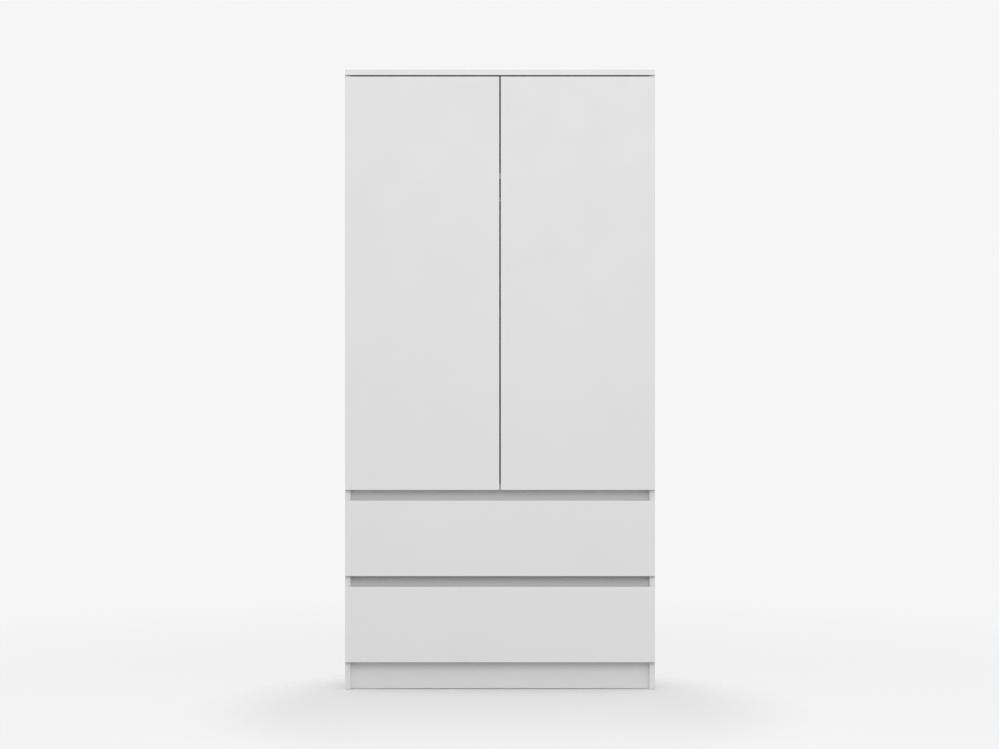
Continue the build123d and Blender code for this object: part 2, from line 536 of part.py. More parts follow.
with BuildPart() as hinge_plates:
    for side in SIDES:
        for z in HINGE_ZS:
            with BuildSketch(Plane.YZ.offset(side * INNER_X)):
                with Locations((BODY_Y + PLATE_SETBACK, z)):
                    RectangleRounded(PLATE_W, PLATE_H, PLATE_CORNER)
            extrude(amount=-side * PLATE_T)
            ridge_x = (INNER_X - PLATE_T - RIDGE_T, INNER_X - PLATE_T)
            slab(across(side, *ridge_x), (BODY_Y + RIDGE_START, BODY_Y + RIDGE_END),
                 (z - RIDGE_HALF, z + RIDGE_HALF))
        spots = [(side * (INNER_X - PLATE_T), BODY_Y + PLATE_SETBACK, z) for z in PLATE_ZS]
        drill(spots, (-side, 0, 0), EURO_R, PLATE_T + PAST)
        screw_tips = [(side * ridge_x[0], y, z) for y in ADJUSTER_YS for z in HINGE_ZS]
        drill(screw_tips, (-side, 0, 0), ADJUSTER_R, ADJUSTER_IN + HEAD_PLAY)
write(hinge_plates, "hinge_plates")

with BuildPart() as hinge_plate_screws:
    for side in SIDES:
        spots = [(side * (INNER_X - PLATE_T), BODY_Y + PLATE_SETBACK, z) for z in PLATE_ZS]
        screws(spots, (side, 0, 0), EURO_LEN, radius=EURO_R, head_r=EURO_HEAD_R)
write(hinge_plate_screws, "hinge_plate_screws")


# ---- doors ---------------------------------------------------------------------------------
def cup_screw_spots(side, y):
    x = side * (OUTER_X - CUP_INSET - CUP_SCREW_OUT)
    return [(x, y, z + dz) for z in HINGE_ZS for dz in (-CUP_SCREW_Z, CUP_SCREW_Z)]


def door(side):
    with BuildPart() as panel:
        slab(across(side, MEETING_GAP / 2, FRONT_X), (FRONT_Y, FRONT_BACK_Y), (DOOR_Z, DOOR_TOP_Z))
        fillet(panel.faces().sort_by(Axis.Y)[0].edges(), EDGE_R)
        cup_x = side * (OUTER_X - CUP_INSET)
        drill([(cup_x, FRONT_BACK_Y, z) for z in HINGE_ZS], (0, 1, 0), CUP_HOLE_R, CUP_HOLE_DEPTH)
        drill(cup_screw_spots(side, FRONT_BACK_Y), (0, 1, 0), SCREW_R, SCREW_LEN)
    return panel


def hinge_cups(side):
    """Pressed cups with a screw flange, and two ears inside that hold the pin."""
    cup_x = side * (OUTER_X - CUP_INSET)
    pin_x = side * (OUTER_X - PIN_INSET)
    floor_y = FRONT_BACK_Y - CUP_DEPTH + CUP_FLOOR
    pin_y = FRONT_BACK_Y - PIN_DEPTH
    inner_r = CUP_R - CUP_WALL
    with BuildPart() as cups:
        for z in HINGE_ZS:
            with BuildSketch(Plane.XZ.offset(-FRONT_BACK_Y)):
                with Locations((cup_x, z)):
                    Circle(CUP_R)
            extrude(amount=CUP_DEPTH)
            with BuildSketch(Plane.XZ.offset(-FRONT_BACK_Y)):
                with Locations((cup_x, z)):
                    Circle(CUP_R + CUP_RIM)
                with Locations((cup_x - side * CUP_SCREW_OUT, z)):
                    RectangleRounded(WING_W, 2 * (CUP_SCREW_Z + WING_END), WING_CORNER)
            extrude(amount=-CUP_FLANGE)
            with BuildSketch(Plane.XZ.offset(-floor_y)):
                with Locations((cup_x, z)):
                    Circle(inner_r)
            extrude(amount=-(CUP_DEPTH - CUP_FLOOR + CUP_FLANGE), mode=Mode.SUBTRACT)
            for up in SIDES:
                low, high = across(up, EYE_HALF + EAR_GAP, PIN_HALF + HEAD_PLAY)
                slab((pin_x - EAR_HALF, pin_x + EAR_HALF), (floor_y - CUP_FLOOR / 2, pin_y + EAR_HALF),
                     (z + low, z + high))
        rods([(pin_x, pin_y, z - PIN_HALF) for z in HINGE_ZS], (0, 0, 1), 2 * PIN_HALF,
             PIN_R + FIT / 2, mode=Mode.SUBTRACT)
        drill(cup_screw_spots(side, FRONT_BACK_Y + CUP_FLANGE), (0, 1, 0), SCREW_R, CUP_FLANGE + PAST)
    return cups


def hinge_pins(side):
    pin = (side * (OUTER_X - PIN_INSET), FRONT_BACK_Y - PIN_DEPTH)
    with BuildPart() as pins:
        rods([(*pin, z - PIN_HALF) for z in HINGE_ZS], (0, 0, 1), 2 * PIN_HALF, PIN_R)
    return pins


def cup_screws(side):
    with BuildPart() as group:
        screws(cup_screw_spots(side, FRONT_BACK_Y + CUP_FLANGE), (0, -1, 0), SCREW_LEN)
    return group


def door_bumpers(side):
    """Clear bumpers near the meeting edge, where the door closes on the two shelves."""
    zs = (SHELF_Z + BOARD / 2, HAT_SHELF_Z + BOARD / 2)
    with BuildPart() as bumpers:
        rods([(side * BUMPER_X, FRONT_BACK_Y, z) for z in zs], (0, 1, 0), BUMPER_T, BUMPER_R)
        fillet(bumpers.edges().filter_by(GeomType.CIRCLE).group_by(Axis.Y)[-1], BUMPER_EDGE)
    return bumpers


for side, hand in ((-1, "left"), (1, "right")):
    write(door(side), f"door_{hand}")
    write(hinge_cups(side), f"hinge_cups_{hand}")
    write(hinge_pins(side), f"hinge_pins_{hand}")
    write(cup_screws(side), f"hinge_cup_screws_{hand}")
    write(door_bumpers(side), f"door_bumpers_{hand}")


# ---- drawer runners fixed to the body ------------------------------------------------------
def from_side(side, near, far):
    """An X span inside the body, by distances from the side panel's inner face."""
    return across(side, INNER_X - near, INNER_X - far)


AXLE_HEAD, AXLE_HEAD_R = 0.8, 3.6
FRONT_ROLLER_T = 2.2                             # front roller's outer face from the side panel
REAR_ROLLER_T = 3.6                              # rear roller's outer face from the side panel
LEG_T = RUNNER_GAP - SHEET                       # drawer runner's upright leg


def body_runners(z):
    """A pair of channels: web, floor, short roof, end stop, and the axle of the front roller."""
    rear = RUNNER_Y + RUNNER_LEN
    with BuildPart() as runners:
        for side in SIDES:
            slab(from_side(side, 0, SHEET), (RUNNER_Y, rear), (z, z + RUNNER_H))
            slab(from_side(side, 0, RUNNER_FLOOR), (RUNNER_Y, rear), (z, z + SHEET))
            roof = (z + RUNNER_H - SHEET, z + RUNNER_H)
            slab(from_side(side, 0, RUNNER_ROOF), (RUNNER_Y + ROOF_START, rear), roof)
            slab(from_side(side, 0, RUNNER_ROOF), (rear - SHEET, rear), (z, z + RUNNER_H))
            spots = [(side * (INNER_X - SHEET), y, z + RUNNER_SCREW_Z) for y in RUNNER_SCREW_YS]
            drill(spots, (side, 0, 0), SCREW_R, SHEET + PAST)
            axle_len = FRONT_ROLLER_T + ROLLER_W + HEAD_PLAY - SHEET
            root_x = side * (INNER_X - SHEET)
            rods([(root_x, FRONT_ROLLER_Y, z + ROLLER_Z)], (-side, 0, 0), axle_len, AXLE_R)
            head_x = root_x - side * axle_len
            rods([(head_x, FRONT_ROLLER_Y, z + ROLLER_Z)], (-side, 0, 0), AXLE_HEAD, AXLE_HEAD_R)
    return runners


def rollers(y, z, outer_t):
    """A left and right pair of nylon rollers on one line."""
    with BuildPart() as pair:
        for side in SIDES:
            start = (side * (INNER_X - outer_t), y, z + ROLLER_Z)
            rods([start], (-side, 0, 0), ROLLER_W, ROLLER_R)
        fillet(pair.edges().filter_by(GeomType.CIRCLE), ROLLER_EDGE)
        for side in SIDES:
            start = (side * (INNER_X - outer_t), y, z + ROLLER_Z)
            rods([start], (-side, 0, 0), ROLLER_W, AXLE_R + FIT, mode=Mode.SUBTRACT)
    return pair


# ---- drawers -------------------------------------------------------------------------------
DRAWER_CAM_ZS = (SIDE_UP + 40, SIDE_UP + 118)    # cams in the drawer sides, above the runner
BACK_SCREW_ZS = (SIDE_UP + 45, SIDE_UP + 115)
RUNNER_FOOT_YS = [FRONT_BACK_Y + 40, 0, DRAWER_REAR_Y - 40]
BOX_MID_X = BOX_X - THIN_BOARD / 2
SIDE_CAM_DEPTH = 9.5
BACK_MID_Y = DRAWER_REAR_Y - THIN_BOARD / 2


def drawer_front(front_z, z):
    with BuildPart() as front:
        slab((-FRONT_X, FRONT_X), (FRONT_Y, FRONT_BACK_Y), (front_z, front_z + DRAWER_FRONT))
        fillet(front.faces().sort_by(Axis.Y)[0].edges(), EDGE_R)
        groove_x = BOX_IN_X + GROOVE_IN
        with BuildSketch(Plane.XY.offset(z + BOTTOM_UP)):
            with Locations((0, FRONT_BACK_Y - FRONT_GROOVE_IN / 2)):
                Rectangle(2 * groove_x, FRONT_GROOVE_IN)
        extrude(amount=HDF, mode=Mode.SUBTRACT)
        spots = [(side * BOX_MID_X, FRONT_BACK_Y, z + up) for side in SIDES for up in DRAWER_CAM_ZS]
        drill(spots, (0, 1, 0), BOLT_THREAD_R, BOLT_IN)
    return front


def drawer_side(side, z):
    with BuildPart() as board:
        z_span = (z + SIDE_UP, z + SIDE_UP + DRAWER_SIDE_H)
        y_span = (FRONT_BACK_Y, DRAWER_REAR_Y)
        slab(across(side, BOX_IN_X, BOX_X), y_span, z_span)
        with BuildSketch(Plane.XY.offset(z + BOTTOM_UP)):
            with Locations((side * (BOX_IN_X + GROOVE_IN / 2), centre(y_span))):
                Rectangle(GROOVE_IN, y_span[1] - y_span[0])
        extrude(amount=HDF, mode=Mode.SUBTRACT)
        fronts = [(side * BOX_MID_X, FRONT_BACK_Y, z + up) for up in DRAWER_CAM_ZS]
        drill(fronts, (0, -1, 0), BOLT_HOLE_R, CAM_BACKSET)
        cams = [(side * BOX_IN_X, FRONT_BACK_Y + CAM_BACKSET, z + up) for up in DRAWER_CAM_ZS]
        drill(cams, (-side, 0, 0), CAM_R, SIDE_CAM_DEPTH)
        backs = [(side * BOX_X, BACK_MID_Y, z + up) for up in BACK_SCREW_ZS]
        drill(backs, (side, 0, 0), SCREW_R, THIN_BOARD)
        feet = [(side * BOX_MID_X, y, z + SIDE_UP) for y in RUNNER_FOOT_YS]
        drill(feet, (0, 0, -1), SCREW_R, SHORT_SCREW)
    return board


def drawer_back(z):
    with BuildPart() as board:
        slab((-BOX_IN_X, BOX_IN_X), (DRAWER_REAR_Y - THIN_BOARD, DRAWER_REAR_Y),
             (z + BOTTOM_UP + HDF, z + SIDE_UP + DRAWER_SIDE_H))
        for side in SIDES:
            ends = [(side * BOX_IN_X, BACK_MID_Y, z + up) for up in BACK_SCREW_ZS]
            drill(ends, (side, 0, 0), SCREW_R, BACK_SCREW_IN)
    return board


def drawer_bottom(z):
    edge = BOX_IN_X + GROOVE_IN
    with BuildPart() as board:
        slab((-edge, edge), (FRONT_BACK_Y - FRONT_GROOVE_IN, DRAWER_REAR_Y),
             (z + BOTTOM_UP, z + BOTTOM_UP + HDF))
    return board


def drawer_runners(z):
    """A pair of angled profiles: a foot under the drawer side, an upright leg and a track."""
    y_span = (FRONT_BACK_Y + RUNNER_SHORT, DRAWER_REAR_Y - RUNNER_SHORT)
    with BuildPart() as runners:
        for side in SIDES:
            foot = z + SIDE_UP - SHEET
            slab(from_side(side, LEG_T, RUNNER_GAP), y_span, (foot, z + TRACK_Z + SHEET))
            slab(from_side(side, LEG_T, RUNNER_GAP + THIN_BOARD), y_span, (foot, foot + SHEET))
            slab(from_side(side, TRACK_OUT, RUNNER_GAP), y_span, (z + TRACK_Z, z + TRACK_Z + SHEET))
            axle_len = LEG_T - REAR_ROLLER_T + HEAD_PLAY
            rods([(side * (INNER_X - LEG_T), REAR_ROLLER_Y, z + ROLLER_Z)], (side, 0, 0), axle_len, AXLE_R)
            head_x = side * (INNER_X - LEG_T + axle_len)
            rods([(head_x, REAR_ROLLER_Y, z + ROLLER_Z)], (side, 0, 0), AXLE_HEAD, AXLE_HEAD_R)
            feet = [(side * BOX_MID_X, y, foot) for y in RUNNER_FOOT_YS]
            drill(feet, (0, 0, -1), SCREW_R, SHEET + PAST)
    return runners


def drawer_cams(z):
    with BuildPart() as cams:
        for side in SIDES:
            spots = [(side * BOX_IN_X, FRONT_BACK_Y + CAM_BACKSET, z + up) for up in DRAWER_CAM_ZS]
            cam_housings(spots, (-side, 0, 0), (0, -1, 0), SIDE_CAM_DEPTH, THIN_BOARD)
    return cams


def drawer_bolts(z):
    with BuildPart() as bolts:
        spots = [(side * BOX_MID_X, FRONT_BACK_Y, z + up) for side in SIDES for up in DRAWER_CAM_ZS]
        cam_bolts(spots, (0, -1, 0))
    return bolts


def drawer_screws(z):
    """Screws through the sides into the back, and up through the runners into the sides."""
    with BuildPart() as group:
        for side in SIDES:
            heads = [(side * (BOX_X - BACK_SCREW_SINK), BACK_MID_Y, z + up) for up in BACK_SCREW_ZS]
            rods(heads, (-side, 0, 0), BACK_SCREW_LEN, SCREW_R - FIT)
            feet = [(side * BOX_MID_X, y, z + SIDE_UP - SHEET) for y in RUNNER_FOOT_YS]
            screws(feet, (0, 0, 1), SHORT_SCREW)
    return group


for level in ("upper", "lower"):
    runner_z = RUNNER_ZS[level]
    write(body_runners(runner_z), f"body_runners_{level}")
    write(rollers(FRONT_ROLLER_Y, runner_z, FRONT_ROLLER_T), f"front_rollers_{level}")
    write(rollers(REAR_ROLLER_Y, runner_z, REAR_ROLLER_T), f"rear_rollers_{level}")
    write(drawer_front(FRONT_ZS[level], runner_z), f"drawer_front_{level}")
    write(drawer_side(-1, runner_z), f"drawer_side_left_{level}")
    write(drawer_side(1, runner_z), f"drawer_side_right_{level}")
    write(drawer_back(runner_z), f"drawer_back_{level}")
    write(drawer_bottom(runner_z), f"drawer_bottom_{level}")
    write(drawer_runners(runner_z), f"drawer_runners_{level}")
    write(drawer_cams(runner_z), f"drawer_cam_locks_{level}")
    write(drawer_bolts(runner_z), f"drawer_cam_bolts_{level}")
    write(drawer_screws(runner_z), f"drawer_screws_{level}")
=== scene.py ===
import json
import math

import bmesh
import bpy
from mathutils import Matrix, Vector


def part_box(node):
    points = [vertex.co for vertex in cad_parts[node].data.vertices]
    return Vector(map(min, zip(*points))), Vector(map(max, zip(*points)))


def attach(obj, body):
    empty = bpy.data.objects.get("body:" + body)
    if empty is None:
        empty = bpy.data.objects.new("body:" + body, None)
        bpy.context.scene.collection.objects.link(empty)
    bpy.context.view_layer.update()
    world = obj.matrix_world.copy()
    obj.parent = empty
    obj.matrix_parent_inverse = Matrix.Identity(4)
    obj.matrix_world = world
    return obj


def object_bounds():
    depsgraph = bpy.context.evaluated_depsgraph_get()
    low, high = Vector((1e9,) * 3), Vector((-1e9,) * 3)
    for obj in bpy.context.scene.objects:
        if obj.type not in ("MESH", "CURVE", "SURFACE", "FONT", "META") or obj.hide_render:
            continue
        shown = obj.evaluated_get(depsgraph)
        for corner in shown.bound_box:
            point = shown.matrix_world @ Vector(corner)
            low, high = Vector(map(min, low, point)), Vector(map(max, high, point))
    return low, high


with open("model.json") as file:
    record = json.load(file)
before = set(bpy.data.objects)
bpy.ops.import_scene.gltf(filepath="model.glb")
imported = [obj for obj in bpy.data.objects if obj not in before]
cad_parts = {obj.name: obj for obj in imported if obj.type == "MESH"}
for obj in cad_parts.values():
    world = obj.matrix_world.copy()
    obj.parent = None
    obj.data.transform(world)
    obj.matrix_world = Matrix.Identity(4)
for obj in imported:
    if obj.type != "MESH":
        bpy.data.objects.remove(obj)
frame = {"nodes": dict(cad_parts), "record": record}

CAD_BOX = [list(corner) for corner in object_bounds()]
MIDDLE = (Vector(CAD_BOX[0]) + Vector(CAD_BOX[1])) / 2
NODES = frame["nodes"]
MM = 0.001
COLOUR_A, COLOUR_B, COLOUR_OUT = 6, 7, 2         # the colour sockets of a Mix node
NOISE_LOW, NOISE_HIGH = 0.3, 0.7                 # most of a noise's values lie between these


# ---- shader helpers ------------------------------------------------------------------------
class Shader:
    """One node material, with short calls for the nodes that its recipe is made of."""

    def __init__(self, name):
        self.material = bpy.data.materials.new(name)
        self.material.use_nodes = True
        self.tree = self.material.node_tree
        self.tree.nodes.clear()
        self.output = self.node("ShaderNodeOutputMaterial")
        self.bsdf = self.node("ShaderNodeBsdfPrincipled")
        self.link(self.bsdf.outputs[0], self.output.inputs["Surface"])
        self.position = self.node("ShaderNodeTexCoord").outputs["Object"]

    def node(self, kind, **settings):
        """A new node of this kind, with its settings."""
        made = self.tree.nodes.new(kind)
        for key, value in settings.items():
            setattr(made, key, value)
        return made

    def link(self, source, target):
        """One node's output joined to another's input."""
        self.tree.links.new(source, target)

    def put(self, socket, value):
        """A number or colour set on a socket, or another node's output linked to it."""
        if isinstance(value, bpy.types.NodeSocket):
            self.link(value, socket)
        else:
            socket.default_value = value

    def principled(self, **values):
        """The surface shader's inputs, named with _ for each space."""
        for key, value in values.items():
            self.put(self.bsdf.inputs[key.replace("_", " ")], value)

    def stretched(self, x, y, z):
        """The object's own coordinates, scaled along each axis."""
        mapping = self.node("ShaderNodeMapping")
        mapping.inputs["Scale"].default_value = (x, y, z)
        self.link(self.position, mapping.inputs["Vector"])
        return mapping.outputs[0]

    def noise(self, scale, detail=3.0, roughness=0.55, vector=None, distortion=0.0):
        """Noise with about this many features to a metre."""
        made = self.node("ShaderNodeTexNoise")
        self.link(vector or self.position, made.inputs["Vector"])
        made.inputs["Scale"].default_value = scale
        made.inputs["Detail"].default_value = detail
        made.inputs["Roughness"].default_value = roughness
        made.inputs["Distortion"].default_value = distortion
        return made.outputs["Fac"]

    def cells(self, scale, feature="F1", output="Distance"):
        """Crystal-like cells, about this many to a metre."""
        made = self.node("ShaderNodeTexVoronoi", feature=feature)
        self.link(self.position, made.inputs["Vector"])
        made.inputs["Scale"].default_value = scale
        return made.outputs[output]

    def remap(self, value, low, high, from_low=0.0, from_high=1.0):
        """The values from from_low to from_high, carried over to low to high."""
        made = self.node("ShaderNodeMapRange")
        self.link(value, made.inputs["Value"])
        made.inputs["From Min"].default_value = from_low
        made.inputs["From Max"].default_value = from_high
        made.inputs["To Min"].default_value = low
        made.inputs["To Max"].default_value = high
        return made.outputs["Result"]

    def spread(self, value, low, high):
        """A noise whose usual values are spread over low to high."""
        return self.remap(value, low, high, NOISE_LOW, NOISE_HIGH)

    def math(self, operation, a, b=0.0):
        """Arithmetic on two numbers, or on one."""
        made = self.node("ShaderNodeMath", operation=operation)
        self.put(made.inputs[0], a)
        self.put(made.inputs[1], b)
        return made.outputs[0]

    def mix(self, factor, a, b):
        """Colour a where the factor is 0, and colour b where it is 1."""
        made = self.node("ShaderNodeMix", data_type="RGBA")
        self.put(made.inputs["Factor"], factor)
        self.put(made.inputs[COLOUR_A], a)
        self.put(made.inputs[COLOUR_B], b)
        return made.outputs[COLOUR_OUT]

    def bump(self, height, strength, distance, before=None):
        """Relief of this height in metres, over the relief that comes before."""
        made = self.node("ShaderNodeBump")
        self.link(height, made.inputs["Height"])
        made.inputs["Strength"].default_value = strength
        made.inputs["Distance"].default_value = distance
        if before:
            self.link(before, made.inputs["Normal"])
        return made.outputs[0]

    def axis_of(self, vector, axis):
        """One of a vector's three numbers."""
        made = self.node("ShaderNodeSeparateXYZ")
        self.link(vector, made.inputs[0])
        return made.outputs[axis]


def grey(level, warm=0.0):
    """A near-neutral colour, a little warmer or cooler."""
    return (level * (1 + warm), level, level * (1 - warm), 1.0)


# ---- materials -----------------------------------------------------------------------------
ALONG_AXIS = 0.6                                 # a normal longer than this on an axis looks along it
CLOUDED, SPECKED = 0.985, 0.86                   # tones of the clouds and specks in white board
BAND_LOW, BAND_HIGH, BAND_GLOSS = 0.972, 0.985, 0.07    # the edge band is duller in tone but glossier


def melamine(name, level, satin=0.42, face_axis="X", band_axis=None):
    """White melamine board: satin pearl texture, faint clouding, fine specks, and an edge band.

    The band covers the sides that look along band_axis, or else all but those along face_axis."""
    s = Shader(name)
    normal = s.node("ShaderNodeNewGeometry").outputs["True Normal"]
    if band_axis:
        band = s.math("GREATER_THAN", s.math("ABSOLUTE", s.axis_of(normal, band_axis)), ALONG_AXIS)
    else:
        band = s.math("LESS_THAN", s.math("ABSOLUTE", s.axis_of(normal, face_axis)), ALONG_AXIS)
    cloud = s.noise(3.5, detail=4)
    speck = s.noise(900, detail=2)
    tone = s.mix(s.spread(cloud, 0.0, 1.0), grey(level * CLOUDED, 0.002), grey(level, 0.001))
    tone = s.mix(s.remap(speck, 0.0, 0.10, 0.62, 0.75), tone, grey(level * SPECKED, 0.004))
    streak = s.noise(30, detail=2, roughness=0.4)
    banded = s.mix(streak, grey(level * BAND_LOW, 0.005), grey(level * BAND_HIGH, 0.004))
    pearl = s.noise(1500, detail=2, roughness=0.5)
    wave = s.noise(140, detail=1)
    smear = s.noise(9, detail=5, roughness=0.6)
    gloss = s.spread(smear, satin - 0.05, satin + 0.06)
    fine = s.bump(pearl, strength=0.16, distance=0.06 * MM)
    s.principled(
        Base_Color=s.mix(band, tone, banded),
        Roughness=s.math("SUBTRACT", gloss, s.math("MULTIPLY", band, BAND_GLOSS)),
        Normal=s.bump(wave, strength=0.05, distance=0.08 * MM, before=fine),
        Specular_IOR_Level=0.42,
    )
    return s.material


LACQUERED = -0.5                                 # normals below this look to the lacquered side
FIBRE_DARK, FIBRE_MID = (0.172, 0.102, 0.055, 1), (0.192, 0.117, 0.064, 1)
FIBRE_PALE, FIBRE_FLECK = (0.27, 0.175, 0.10, 1), (0.10, 0.056, 0.028, 1)


def hardboard(name, axis, sign):
    """Hardboard, white lacquer on one face and bare brown fibre on the other and on its edges."""
    s = Shader(name)
    facing = s.axis_of(s.node("ShaderNodeNewGeometry").outputs["True Normal"], axis)
    bare = s.math("GREATER_THAN", s.math("MULTIPLY", facing, float(sign)), LACQUERED)
    cloud = s.noise(7, detail=4, roughness=0.6)
    fibre = s.noise(420, detail=5, roughness=0.7, distortion=1.5)
    fleck = s.noise(900, detail=3)
    brown = s.mix(s.spread(cloud, 0.0, 1.0), FIBRE_DARK, FIBRE_MID)
    brown = s.mix(s.remap(fibre, 0.0, 0.55, 0.45, 0.7), brown, FIBRE_PALE)
    brown = s.mix(s.remap(fleck, 0.0, 0.5, 0.58, 0.75), brown, FIBRE_FLECK)
    white = s.mix(s.remap(cloud, 0, 1, 0.35, 0.65), grey(0.745, 0.005), grey(0.755, 0.004))
    s.principled(
        Base_Color=s.mix(bare, white, brown),
        Roughness=s.spread(fibre, 0.58, 0.74),
        Normal=s.bump(fleck, strength=0.35, distance=0.12 * MM),
        Specular_IOR_Level=0.3,
    )
    return s.material


def metal(name, colour, rough, grain=420.0, stretch=(1.0, 1.0, 1.0), depth=0.25, stain=0.06):
    """Plated or bare metal: tone and gloss wander with handling, and fine grain runs one way."""
    s = Shader(name)
    lines = s.noise(grain, detail=3, vector=s.stretched(*stretch))
    patch = s.noise(28, detail=5, roughness=0.65)
    dark = tuple(c * (1 - stain) for c in colour) + (1.0,)
    light = tuple(min(1.0, c * (1 + stain)) for c in colour) + (1.0,)
    s.principled(
        Base_Color=s.mix(s.spread(patch, 0.0, 1.0), dark, light),
        Metallic=1.0,
        Roughness=s.remap(lines, rough * 0.78, rough * 1.25, 0.25, 0.75),
        Normal=s.bump(lines, strength=depth, distance=0.04 * MM),
    )
    return s.material


SPANGLES = 260                                   # crystals to a metre


def galvanised(name):
    """Hot-dip spangle: flat crystals, each with its own tone and gloss."""
    s = Shader(name)
    crystal = s.cells(SPANGLES, output="Color")
    tone = s.axis_of(crystal, "X")
    dirt = s.noise(45, detail=4)
    s.principled(
        Base_Color=s.mix(tone, (0.42, 0.43, 0.44, 1), (0.60, 0.61, 0.62, 1)),
        Metallic=1.0,
        Roughness=s.remap(s.math("ADD", tone, dirt), 0.28, 0.55, 0.3, 1.6),
        Normal=s.bump(s.cells(SPANGLES, feature="DISTANCE_TO_EDGE"), strength=0.2, distance=0.05 * MM),
    )
    return s.material


BEECH_DARK, BEECH_PALE, BEECH_RAY = (0.46, 0.27, 0.13, 1), (0.60, 0.40, 0.22, 1), (0.30, 0.16, 0.08, 1)


def beech(name):
    """Raw beech dowel: pale, with fine rays and flecks along the grain."""
    s = Shader(name)
    rays = s.noise(260, detail=4, vector=s.stretched(0.12, 1.0, 1.0))
    bands = s.noise(40, detail=3, vector=s.stretched(0.2, 1.0, 1.0), distortion=0.6)
    tone = s.mix(s.spread(bands, 0.0, 1.0), BEECH_DARK, BEECH_PALE)
    tone = s.mix(s.remap(rays, 0.0, 0.55, 0.58, 0.72), tone, BEECH_RAY)
    s.principled(
        Base_Color=tone,
        Roughness=s.remap(rays, 0.55, 0.75),
        Normal=s.bump(rays, strength=0.3, distance=0.1 * MM),
    )
    return s.material


def coated_steel(name):
    """White powder coat on sheet steel, with the slight orange peel that it cures with."""
    s = Shader(name)
    peel = s.noise(620, detail=2, roughness=0.45)
    rub = s.noise(35, detail=6, roughness=0.7, vector=s.stretched(1.0, 0.08, 1.0))
    worn = s.remap(rub, 0.0, 0.6, 0.66, 0.80)
    s.principled(
        Base_Color=s.mix(worn, grey(0.70, 0.008), grey(0.50, 0.006)),
        Roughness=s.spread(rub, 0.30, 0.44),
        Normal=s.bump(peel, strength=0.22, distance=0.09 * MM),
        Coat_Weight=0.12,
        Coat_Roughness=0.2,
    )
    return s.material


NYLON_CLEAN, NYLON_DUSTY = (0.74, 0.735, 0.70, 1), (0.60, 0.59, 0.56, 1)


def nylon(name):
    """Moulded nylon roller: milky, a little waxy, with a dust film on the running face."""
    s = Shader(name)
    body = s.noise(180, detail=3)
    film = s.noise(90, detail=5, roughness=0.7)
    s.principled(
        Base_Color=s.mix(s.remap(film, 0, 1, 0.4, 0.75), NYLON_CLEAN, NYLON_DUSTY),
        Roughness=s.spread(film, 0.32, 0.5),
        Subsurface_Weight=0.2,
        Subsurface_Radius=(0.002, 0.002, 0.0018),
        Normal=s.bump(body, strength=0.12, distance=0.08 * MM),
    )
    return s.material


def plastic(name, colour, rough=0.4, grain=900.0, stretch=(1.0, 1.0, 1.0)):
    """Moulded or extruded plastic with a fine spark-eroded grain."""
    s = Shader(name)
    texture = s.noise(grain, detail=2, vector=s.stretched(*stretch))
    scuff = s.noise(50, detail=5, roughness=0.7)
    lighter = tuple(min(1.0, c * 1.18 + 0.01) for c in colour) + (1.0,)
    s.principled(
        Base_Color=s.mix(s.remap(scuff, 0, 0.6, 0.5, 0.8), (*colour, 1.0), lighter),
        Roughness=s.spread(scuff, rough - 0.06, rough + 0.1),
        Normal=s.bump(texture, strength=0.25, distance=0.06 * MM),
    )
    return s.material


CLEAR_TONE, HAZY_TONE = (0.92, 0.93, 0.93, 1), (0.84, 0.86, 0.87, 1)


def clear_rubber(name):
    """Clear elastomer bumper: see-through, with tiny bubbles and a soft skin."""
    s = Shader(name)
    bubble = s.noise(1400, detail=2)
    haze = s.noise(250, detail=3)
    s.principled(
        Base_Color=s.mix(s.remap(haze, 0, 1, 0.35, 0.7), CLEAR_TONE, HAZY_TONE),
        Roughness=s.remap(haze, 0.12, 0.26),
        Transmission_Weight=0.75,
        IOR=1.46,
        Normal=s.bump(bubble, strength=0.08, distance=0.05 * MM),
    )
    return s.material


BODY = melamine("body_melamine", 0.80, band_axis="Y")
# the grip rails and kickboard are the same white board, painted a little lighter (0.82 against the body's
# 0.80): painted light that lifts the shade in the finger grooves and under the plinth
RAIL_PAINTED_LIGHTER = melamine("rail_melamine_painted_lighter", 0.82, face_axis="Y")
FRONT = melamine("front_melamine", 0.80, satin=0.40, face_axis="Y")
DRAWER = melamine("drawer_foil", 0.76, satin=0.36, band_axis="Z")
BACK_HDF = hardboard("back_hardboard", "Y", 1)
BOTTOM_HDF = hardboard("bottom_hardboard", "Z", -1)
ALONG_RAIL, ALONG_STRIP, ALONG_ARM = (0.04, 1, 1), (1, 1, 0.02), (1, 0.15, 1)    # grain drawn out one way
CHROME = metal("chromed_tube", (0.68, 0.68, 0.69), rough=0.30, grain=300, stretch=ALONG_RAIL,
               depth=0.05, stain=0.03)
ZINC_CAST = metal("zinc_cast", (0.50, 0.50, 0.51), rough=0.42, grain=700, depth=0.4)
ZINC_PLATE = metal("zinc_plate", (0.62, 0.63, 0.65), rough=0.26, grain=500, depth=0.12, stain=0.1)
NICKEL = metal("nickel_plate", (0.66, 0.64, 0.61), rough=0.20, grain=380, stretch=ALONG_ARM, depth=0.1)
SPANGLE = galvanised("galvanised_sheet")
BEECH = beech("beech")
COATED = coated_steel("white_coated_steel")
NYLON = nylon("nylon")
STRIP = plastic("white_extrusion", (0.74, 0.74, 0.73), rough=0.32, grain=500, stretch=ALONG_STRIP)
GLIDES = plastic("glide_plastic", (0.16, 0.16, 0.165))
CLEAR = clear_rubber("clear_bumper")
CAPS = plastic("cap_plastic", (0.76, 0.76, 0.75), rough=0.36, grain=700)

